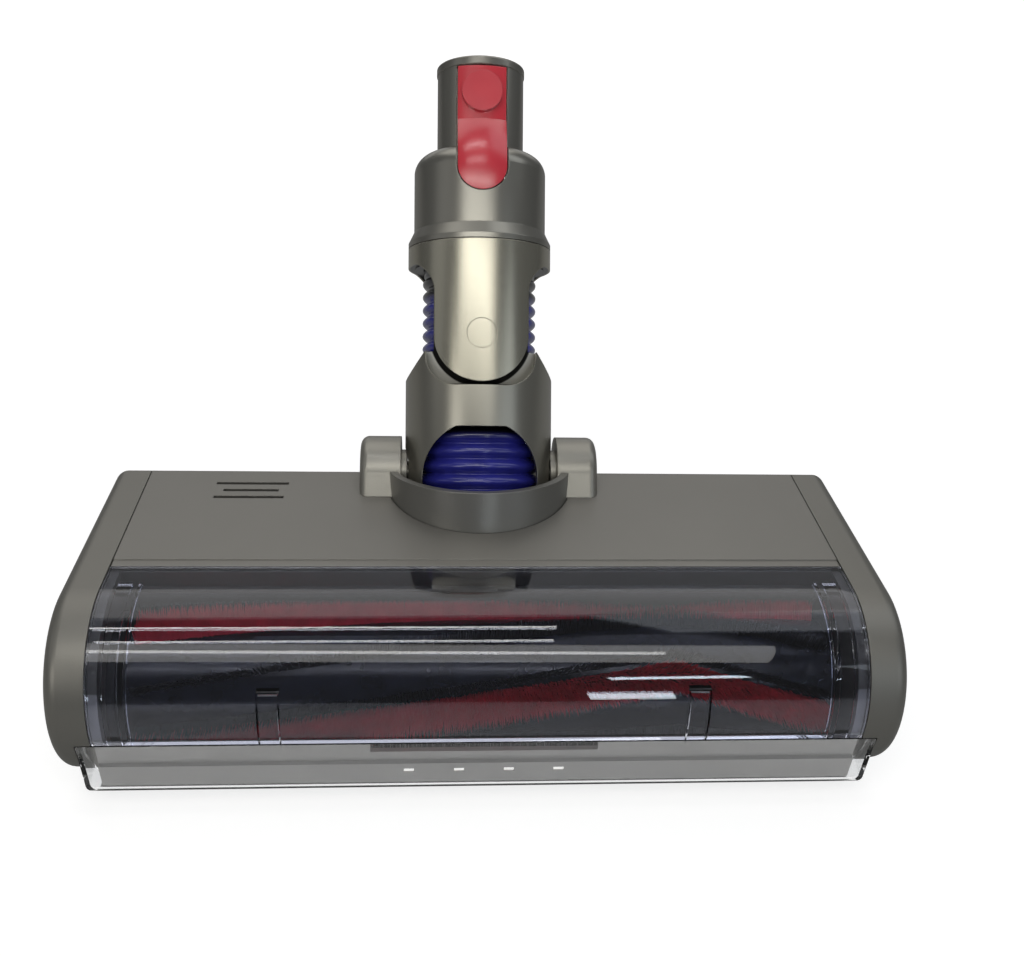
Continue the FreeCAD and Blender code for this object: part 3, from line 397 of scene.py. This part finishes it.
# The window over the brush and the bumper strip below it: clear polycarbonate, the
# window a little smoky, held by the housing's joint and by two snap tabs.
def clear_plastic(name, tint, rough):
    """A clear moulding with a tint and a little unevenness in its gloss."""
    material, tree, shader = new_material(name)
    shader.inputs["Base Color"].default_value = (*tint, 1)
    shader.inputs["Transmission Weight"].default_value = 1.0
    shader.inputs["IOR"].default_value = 1.5
    tree.links.new(speckle(tree, 90, rough, rough + 0.03), shader.inputs["Roughness"])
    return material


finish_nodes(clear_plastic("smoky_window", (0.66, 0.68, 0.77), 0.0), "clear_cover")
finish_nodes(clear_plastic("clear_strip", (0.95, 0.955, 0.96), 0.02), "lamp_strip")


# Behind the strip: the lamp board with four white lamps. They are plain moulded parts,
# as are most of the parts below.
def plain_part(name, colour, rough, metallic=0.0, grain=900, depth=0.00004):
    """An unlacquered part of plastic, metal or felt, with its grain."""
    material, tree, shader = new_material(name)
    shade_between(tree, shader, [c * 0.85 for c in colour], [min(1, c * 1.12) for c in colour], 220)
    shader.inputs["Metallic"].default_value = metallic
    tree.links.new(speckle(tree, 300, rough - 0.05, rough + 0.05), shader.inputs["Roughness"])
    fine_grain(tree, shader, grain, depth)
    return material


board_green = plain_part("board_green", (0.03, 0.12, 0.05), 0.4)
finish_nodes(board_green, "lamp_board")
lamp_white = plain_part("lamp_white", (0.9, 0.9, 0.9), 0.25)
lamp_shader = lamp_white.node_tree.nodes["Principled BSDF"]
lamp_shader.inputs["Emission Color"].default_value = (1.0, 0.98, 0.94, 1)
lamp_shader.inputs["Emission Strength"].default_value = 0.6
finish_nodes(lamp_white, "head_lamps")


# The brush: a glossy dark tube with a socket and an end plug. It carries three rows of
# stiff red nylon bristles and six of fine black filaments, all set in twisted grooves
# that run towards a chevron near the right end.
brush_dark, brush_tree, brush_shader = new_material("brush_dark")
shade_between(brush_tree, brush_shader, (0.008, 0.009, 0.018), (0.014, 0.016, 0.03), 120)
brush_tree.links.new(speckle(brush_tree, 160, 0.14, 0.22), brush_shader.inputs["Roughness"])
fine_grain(brush_tree, brush_shader, 700, 0.00003)
inner_black = plain_part("inner_black", (0.03, 0.03, 0.032), 0.5)
finish_nodes(brush_dark, "brush_core")
finish_nodes(inner_black, "drive_hub", "brush_end_plug")


def new_geometry_tree(name, inputs):
    """A node group with named inputs for its sizes; gives the group and its input sockets."""
    tree = bpy.data.node_groups.new(name, "GeometryNodeTree")
    tree.interface.new_socket("Geometry", in_out="INPUT", socket_type="NodeSocketGeometry")
    tree.interface.new_socket("Geometry", in_out="OUTPUT", socket_type="NodeSocketGeometry")
    for label, value in inputs.items():
        kind = "NodeSocketInt" if isinstance(value, int) else "NodeSocketFloat"
        tree.interface.new_socket(label, in_out="INPUT", socket_type=kind).default_value = value
    start = tree.nodes.new("NodeGroupInput")
    return tree, start.outputs


def run_geometry_tree(tree, name, values):
    """Put the group on an empty mesh, set its inputs, and keep the result as a plain mesh."""
    maker = bpy.data.objects.new(name + "_maker", bpy.data.meshes.new(name + "_maker"))
    scene.collection.objects.link(maker)
    modifier = maker.modifiers.new("shape", "NODES")
    modifier.node_group = tree
    for item in tree.interface.items_tree:
        if item.item_type == "SOCKET" and item.in_out == "INPUT" and item.name in values:
            modifier[item.identifier] = values[item.name]
    settled = maker.evaluated_get(bpy.context.evaluated_depsgraph_get())
    mesh = bpy.data.meshes.new_from_object(settled)
    mesh.name = name
    maker.modifiers.remove(modifier)
    bpy.data.objects.remove(maker)
    piece = bpy.data.objects.new(name, mesh)
    scene.collection.objects.link(piece)
    return piece


brush_axis = Vector(joint_place("brush_spin"))
tuft_inputs = {
    "Along": 300, "Across": 5, "Width": 0.0085, "Foot": 0.0174, "Tip": 0.0247, "Thickness": 0.00036,
    "Phase": 46.0, "Rows": 3, "Long Twist": 0.45, "Short Twist": 0.79, "Chevron": 0.058,
    "Left End": -0.104, "Right End": 0.105, "Lean": 0.08, "Seed": 3,
}
tuft_tree, tuft = new_geometry_tree("tuft_row", tuft_inputs)
tuft_node = partial(add_node, tuft_tree)
tuft_maths = partial(maths, tuft_tree)
tuft_vectors = partial(vector_maths, tuft_tree)
mm_per_metre = 1000.0
rooted_width_share = 0.85
cone_height_share = 0.97
shortest_share = 0.86
sway_seed_step = 7

# A grid of points is scattered a little and wrapped round the tube along the groove.
grid = tuft_node("GeometryNodeMeshGrid", {
    "Size X": 1.0, "Size Y": 1.0, "Vertices X": tuft["Along"], "Vertices Y": tuft["Across"],
})
point_place = tuft_node("GeometryNodeInputPosition").outputs[0]
spot = tuft_node("ShaderNodeSeparateXYZ", {0: point_place}).outputs
scatter = tuft_node("FunctionNodeRandomValue", {
    0: (-0.5, -0.5, 0.0), 1: (0.5, 0.5, 1.0), "Seed": tuft["Seed"],
}, data_type="FLOAT_VECTOR")
shift = tuft_node("ShaderNodeSeparateXYZ", {0: scatter.outputs[0]}).outputs
along_step = tuft_maths("DIVIDE", shift[0], tuft["Along"])
across_step = tuft_maths("DIVIDE", shift[1], tuft["Across"])
share = tuft_maths("ADD", tuft_maths("ADD", spot[0], 0.5), along_step)
span = tuft_maths("SUBTRACT", tuft["Right End"], tuft["Left End"])
x_place = tuft_maths("MULTIPLY_ADD", share, span, tuft["Left End"])
past_chevron_mm = tuft_maths("MULTIPLY", tuft_maths("SUBTRACT", x_place, tuft["Chevron"]), mm_per_metre)
long_lag = tuft_maths("MULTIPLY", tuft_maths("MULTIPLY", past_chevron_mm, -1.0), tuft["Long Twist"])
short_lag = tuft_maths("MULTIPLY", past_chevron_mm, tuft["Short Twist"])
lag = tuft_maths("MAXIMUM", long_lag, short_lag)
turn = tuft_maths("RADIANS", tuft_maths("SUBTRACT", tuft["Phase"], lag))
cosine = tuft_maths("COSINE", turn)
sine = tuft_maths("SINE", turn)
side_share = tuft_maths("ADD", spot[1], across_step)
aside = tuft_maths("MULTIPLY", side_share, tuft_maths("MULTIPLY", tuft["Width"], rooted_width_share))
y_foot = tuft_maths("MULTIPLY", tuft_maths("MULTIPLY", cosine, tuft["Foot"]), -1.0)
y_place = tuft_maths("MULTIPLY_ADD", sine, aside, y_foot)
z_foot = tuft_maths("MULTIPLY", sine, tuft["Foot"])
z_place = tuft_maths("MULTIPLY_ADD", cosine, aside, z_foot)
rooted = tuft_node("ShaderNodeCombineXYZ", {0: x_place, 1: y_place, 2: z_place}).outputs[0]
move = tuft_node("GeometryNodeSetPosition", {"Geometry": grid.outputs["Mesh"], "Position": rooted})

# A thin cone stands on each point, outwards but for a small random lean, at its own height.
reach = tuft_maths("SUBTRACT", tuft["Tip"], tuft["Foot"])
bristle = tuft_node("GeometryNodeMeshCone", {
    "Vertices": 3, "Radius Top": 0.0, "Radius Bottom": tuft["Thickness"],
    "Depth": tuft_maths("MULTIPLY", reach, cone_height_share),
}, fill_type="NONE")
outward = tuft_vectors("NORMALIZE", tuft_vectors("MULTIPLY", point_place, (0, 1, 1)))
sway = tuft_node("FunctionNodeRandomValue", {
    0: (-1, -1, -1), 1: (1, 1, 1), "Seed": tuft_maths("ADD", tuft["Seed"], sway_seed_step),
}, data_type="FLOAT_VECTOR")
lean_all = tuft_node("ShaderNodeCombineXYZ", {slot: tuft["Lean"] for slot in range(3)}).outputs[0]
leaning = tuft_vectors("MULTIPLY_ADD", sway.outputs[0], lean_all, outward)
aim_out = tuft_node("FunctionNodeAlignRotationToVector", {"Vector": leaning}, axis="Z")
height = tuft_node("FunctionNodeRandomValue", {
    2: shortest_share, 3: 1.0, "Seed": tuft["Seed"],
}, data_type="FLOAT")
tall = tuft_node("ShaderNodeCombineXYZ", {0: 1.0, 1: 1.0, 2: height.outputs[1]}).outputs[0]
plant = tuft_node("GeometryNodeInstanceOnPoints", {
    "Points": move.outputs["Geometry"], "Instance": bristle.outputs["Mesh"],
    "Rotation": aim_out.outputs["Rotation"], "Scale": tall,
})
one_row = tuft_node("GeometryNodeRealizeInstances", {0: plant.outputs["Instances"]})

# The finished row is repeated round the tube and set on the brush's axis.
turns = tuft_node("GeometryNodeMeshLine", {"Count": tuft["Rows"], "Offset": (0, 0, 0)})
full_turn = tuft_maths("DIVIDE", math.tau, tuft["Rows"])
row_turn = tuft_maths("MULTIPLY", tuft_node("GeometryNodeInputIndex").outputs[0], full_turn)
around = tuft_node("GeometryNodeInstanceOnPoints", {
    "Points": turns.outputs["Mesh"], "Instance": one_row.outputs[0],
    "Rotation": tuft_node("ShaderNodeCombineXYZ", {0: row_turn}).outputs[0],
})
all_rows = tuft_node("GeometryNodeRealizeInstances", {0: around.outputs["Instances"]})
seat = tuft_node("GeometryNodeTransform", {
    "Translation": (0, brush_axis.y, brush_axis.z), "Geometry": all_rows.outputs[0],
})
tuft_paint = tuft_node("GeometryNodeSetMaterial", {"Geometry": seat.outputs["Geometry"]})
tuft_node("NodeGroupOutput", {0: tuft_paint.outputs["Geometry"]})

bristle_red = plain_part("bristle_red", (0.9, 0.07, 0.11), 0.45)
filament_black = plain_part("filament_black", (0.012, 0.012, 0.016), 0.4)
# The filaments are painted light grey at their tips: a painted highlight along the outer edge of each row.
filament_reach = reach_from(filament_black.node_tree, brush_axis, (1, 0, 0))
tip_from, tip_to = 23.3 * mm, 23.9 * mm
tip_highlight_share = mapped(filament_black.node_tree, filament_reach, tip_from, tip_to)
recolour(filament_black, tip_highlight_share, (0.6, 0.62, 0.66))
tuft_paint.inputs["Material"].default_value = bristle_red
red_tufts = run_geometry_tree(tuft_tree, "red_tufts", {"Along": 520, "Across": 13})
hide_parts("red_bristles")
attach(red_tufts, "brush_bar")
tuft_paint.inputs["Material"].default_value = filament_black
filament_sizes = {"Along": 520, "Across": 4, "Width": 0.0016, "Thickness": 0.00022, "Seed": 11}
for label, phase in (("first_filaments", 66.0), ("second_filaments", 109.0)):
    filaments = run_geometry_tree(tuft_tree, label, {**filament_sizes, "Phase": phase})
    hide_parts("black_strips")
    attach(filaments, "brush_bar")


# The drive inside the brush, and the fixed parts that carry it, with the axles,
# screws, bearings and boards of the rest of the nozzle.
steel = plain_part("steel", (0.5, 0.5, 0.5), 0.3, metallic=1.0)
bronze = plain_part("bronze", (0.45, 0.3, 0.12), 0.35, metallic=1.0)
finish_nodes(inner_black, "motor_pod", "gearbox", "suction_duct", "cap_lock", "contact_block")
finish_nodes(steel, "brush_motor", "drive_shaft", "left_axle", "right_axle", "housing_screws", "latch_pin")
finish_nodes(bronze, "pod_bearing", "cap_bush", "contact_pins")
finish_nodes(board_green, "control_board")


# The two bellows hoses of soft violet rubber: rounded rings with tight valleys between
# them. In the head the lower one bends with the neck's pitch and the upper one with its swing;
# here both are built straight along the neck's axis.
neck_pivot = Vector(joint_place("neck_pitch"))
neck_tilt = -math.acos(neck_axis.z)
hose_foot = -0.016
hose_top = 0.077
hose_inputs = {
    "Foot": hose_foot, "Top": 0.022, "Rings From": hose_foot, "Rings To": 0.022, "Pitch": 0.0044,
    "Ridge": 0.0199, "Valley": 0.0178, "Cuff Below": 0.0179, "Cuff Above": 0.0179, "Bore": 0.0166,
    "Rows": 100, "Sides": 96,
}
hose_tree, hose = new_geometry_tree("bellows", hose_inputs)
hose_node = partial(add_node, hose_tree)
hose_maths = partial(maths, hose_tree)

# The outer wall takes the first rows of a sheet. Its last three rows close the tube: the
# top of the bore, the bottom of the bore, and the foot of the outer wall once more.
sheet = hose_node("GeometryNodeMeshGrid", {
    "Size X": 1.0, "Size Y": 1.0,
    "Vertices X": hose_maths("ADD", hose["Sides"], 1), "Vertices Y": hose_maths("ADD", hose["Rows"], 4),
})
flat = hose_node("ShaderNodeSeparateXYZ", {0: hose_node("GeometryNodeInputPosition").outputs[0]}).outputs
bearing = hose_maths("MULTIPLY", flat[0], math.tau)
row_share = hose_maths("ADD", flat[1], 0.5)
row = hose_maths("ROUND", hose_maths("MULTIPLY", row_share, hose_maths("ADD", hose["Rows"], 3)))
tall_share = hose_maths("MINIMUM", hose_maths("DIVIDE", row, hose["Rows"]), 1.0)
inside = hose_maths("GREATER_THAN", row, hose["Rows"])
last_two = hose_maths("GREATER_THAN", row, hose_maths("ADD", hose["Rows"], 1.5))
last = hose_maths("GREATER_THAN", row, hose_maths("ADD", hose["Rows"], 2.5))
level_share = hose_maths("MULTIPLY", tall_share, hose_maths("SUBTRACT", 1.0, last_two))
hose_length = hose_maths("SUBTRACT", hose["Top"], hose["Foot"])
level = hose_maths("MULTIPLY_ADD", level_share, hose_length, hose["Foot"])
ringed_length = hose_maths("SUBTRACT", hose["Rings To"], hose["Rings From"])
ring_count = hose_maths("ROUND", hose_maths("DIVIDE", ringed_length, hose["Pitch"]))
ring_share = hose_maths("DIVIDE", hose_maths("SUBTRACT", level, hose["Rings From"]), ringed_length)
ring_angle = hose_maths("MULTIPLY", hose_maths("MULTIPLY", ring_share, ring_count), math.pi)
swell = hose_maths("POWER", hose_maths("ABSOLUTE", hose_maths("SINE", ring_angle)), 0.8)
swing_out = hose_maths("SUBTRACT", hose["Ridge"], hose["Valley"])
ringed = hose_maths("MULTIPLY_ADD", swell, swing_out, hose["Valley"])


def choose_value(test, when_false, when_true):
    """The second value where the test is 1, and the first where it is 0."""
    return hose_maths("MULTIPLY_ADD", test, hose_maths("SUBTRACT", when_true, when_false), when_false)


height_margin = 0.00001
below = hose_maths("LESS_THAN", level, hose_maths("SUBTRACT", hose["Rings From"], height_margin))
above = hose_maths("GREATER_THAN", level, hose_maths("ADD", hose["Rings To"], height_margin))
outer = choose_value(below, ringed, hose["Cuff Below"])
outer = choose_value(above, outer, hose["Cuff Above"])
radius = choose_value(hose_maths("SUBTRACT", inside, last), outer, hose["Bore"])
around_place = hose_node("ShaderNodeCombineXYZ", {
    0: hose_maths("MULTIPLY", hose_maths("COSINE", bearing), radius),
    1: hose_maths("MULTIPLY", hose_maths("SINE", bearing), radius),
    2: level,
})
mark = hose_node("GeometryNodeStoreNamedAttribute", data_type="FLOAT", domain="POINT")
mark.inputs["Name"].default_value = "height"
hose_tree.links.new(sheet.outputs["Mesh"], mark.inputs["Geometry"])
hose_tree.links.new(level, mark.inputs["Value"])
wrap = hose_node("GeometryNodeSetPosition", {
    "Geometry": mark.outputs["Geometry"], "Position": around_place.outputs[0],
})
weld = hose_node("GeometryNodeMergeByDistance", {"Distance": 0.00002, "Geometry": wrap.outputs["Geometry"]})
lay = hose_node("GeometryNodeTransform", {
    "Rotation": (neck_tilt, 0, 0), "Translation": neck_pivot, "Geometry": weld.outputs["Geometry"],
})
smooth = hose_node("GeometryNodeSetShadeSmooth", {0: lay.outputs["Geometry"]})
hose_paint = hose_node("GeometryNodeSetMaterial", {"Geometry": smooth.outputs[0]})
hose_node("NodeGroupOutput", {0: hose_paint.outputs["Geometry"]})

hose_rubber, rubber_tree, rubber_shader = new_material("hose_rubber")
rubber_height = add_node(rubber_tree, "ShaderNodeAttribute", attribute_name="height").outputs["Fac"]
rubber_bands = add_node(rubber_tree, "ShaderNodeValToRGB", {
    "Fac": mapped(rubber_tree, rubber_height, hose_foot, hose_top),
})
# The rubber is violet, with near-black bands painted as shade where the hoses run into the neck: the top of
# the lower hose, and the foot and top of the upper one.
violet = (0.024, 0.026, 0.25, 1)
hose_shade_black = (0.004, 0.004, 0.008, 1)
rubber_bands.color_ramp.elements[0].color = violet
rubber_bands.color_ramp.elements[1].color = hose_shade_black
shade_band_heights = (
    (0.011, violet), (0.014, hose_shade_black), (0.034, hose_shade_black),
    (0.036, violet), (0.0598, violet), (0.0612, hose_shade_black),
)
for band_height, band in shade_band_heights:
    band_share = (band_height - hose_foot) / (hose_top - hose_foot)
    rubber_bands.color_ramp.elements.new(band_share).color = band
rubber_wear = add_node(rubber_tree, "ShaderNodeHueSaturation", {
    "Color": rubber_bands.outputs["Color"], "Value": speckle(rubber_tree, 150, 0.85, 1.15),
})
rubber_tree.links.new(rubber_wear.outputs["Color"], rubber_shader.inputs["Base Color"])
rubber_tree.links.new(speckle(rubber_tree, 200, 0.18, 0.26), rubber_shader.inputs["Roughness"])
rubber_shader.inputs["Coat Weight"].default_value = 0.5
rubber_shader.inputs["Coat Roughness"].default_value = 0.15
fine_grain(rubber_tree, rubber_shader, 1500, 0.00002)
hose_paint.inputs["Material"].default_value = hose_rubber
lower_sizes = {"Rows": 110, "Rings To": 0.0152, "Pitch": 0.0052, "Ridge": 0.0216, "Valley": 0.0193}
lower_rings = run_geometry_tree(hose_tree, "lower_rings", lower_sizes)
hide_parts("lower_hose")
upper_sizes = {
    "Foot": 0.023, "Top": hose_top, "Rings From": 0.0364, "Rings To": 0.0682, "Cuff Below": 0.0163,
    "Cuff Above": 0.0194, "Bore": 0.0149, "Rows": 150,
}
upper_rings = run_geometry_tree(hose_tree, "upper_rings", upper_sizes)
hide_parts("upper_hose")


def along_neck(length):
    """The place on the neck's axis at a length from the neck's pitch joint."""
    return tuple(neck_pivot + neck_axis * length)


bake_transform(lower_rings)
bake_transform(upper_rings)


# The latch on the stub: one glossy red moulding with a thumb pad and a round catch.
# It rocks on a pin at its foot.
latch_red, latch_tree, latch_shader = new_material("latch_red")
shade_between(latch_tree, latch_shader, (0.6, 0.03, 0.05), (0.68, 0.04, 0.06), 80)
latch_tree.links.new(speckle(latch_tree, 120, 0.2, 0.27), latch_shader.inputs["Roughness"])
latch_shader.inputs["Coat Weight"].default_value = 1.0
latch_shader.inputs["Coat Roughness"].default_value = 0.2
fine_grain(latch_tree, latch_shader, 900, 0.00001, 0.0006)
finish_nodes(latch_red, "release_latch")


# The leaf spring under the latch: a steel strip that lies on the floor of its well and
# is bent up to the latch. In the head it flattens on to that floor as the latch is pressed;
# here it keeps its bent shape and rides with the arm.
leaf_floor = 10.9
leaf_profile = (
    (leaf_floor, 118.0), (11.2, 118.0), (11.2, 122.0), (12.9, 131.0),
    (12.9, 134.0), (12.6, 134.0), (12.6, 131.1), (leaf_floor, 122.1),
)
leaf_half_width = 2.5
leaf_corners = len(leaf_profile)


def on_leaf(aside, height, length):
    """A place on the leaf in millimetres across, above the neck's axis and along it."""
    return Vector(along_neck(length * mm)) + neck_front * height * mm + Vector((aside * mm, 0, 0))


leaf_points = [
    on_leaf(side * leaf_half_width, height, length) for side in (-1, 1) for height, length in leaf_profile
]
leaf_faces = [tuple(range(leaf_corners)), tuple(reversed(range(leaf_corners, 2 * leaf_corners)))]
for corner in range(leaf_corners):
    following = (corner + 1) % leaf_corners
    leaf_faces.append((following, corner, corner + leaf_corners, following + leaf_corners))
leaf_mesh = bpy.data.meshes.new("leaf_spring")
leaf_mesh.from_pydata(leaf_points, [], leaf_faces)
leaf_mesh.materials.append(steel)
leaf_spring = bpy.data.objects.new("leaf_spring", leaf_mesh)
scene.collection.objects.link(leaf_spring)
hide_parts("latch_spring")
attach(leaf_spring, "arm")
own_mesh(leaf_spring)


# What the head stands on: wheels, glide pads and the felt strip of the mouth.
# The wheels are rubber, the pads hard plastic and the strip a dense red felt.
finish_nodes(plain_part("wheel_rubber", (0.02, 0.02, 0.02), 0.6), "left_wheel", "right_wheel")
finish_nodes(plain_part("glide_grey", (0.2, 0.2, 0.2), 0.4), "glide_pads")
felt_red = plain_part("felt_red", (0.3, 0.02, 0.04), 0.9, grain=3000, depth=0.0003)
finish_nodes(felt_red, "felt_strip")
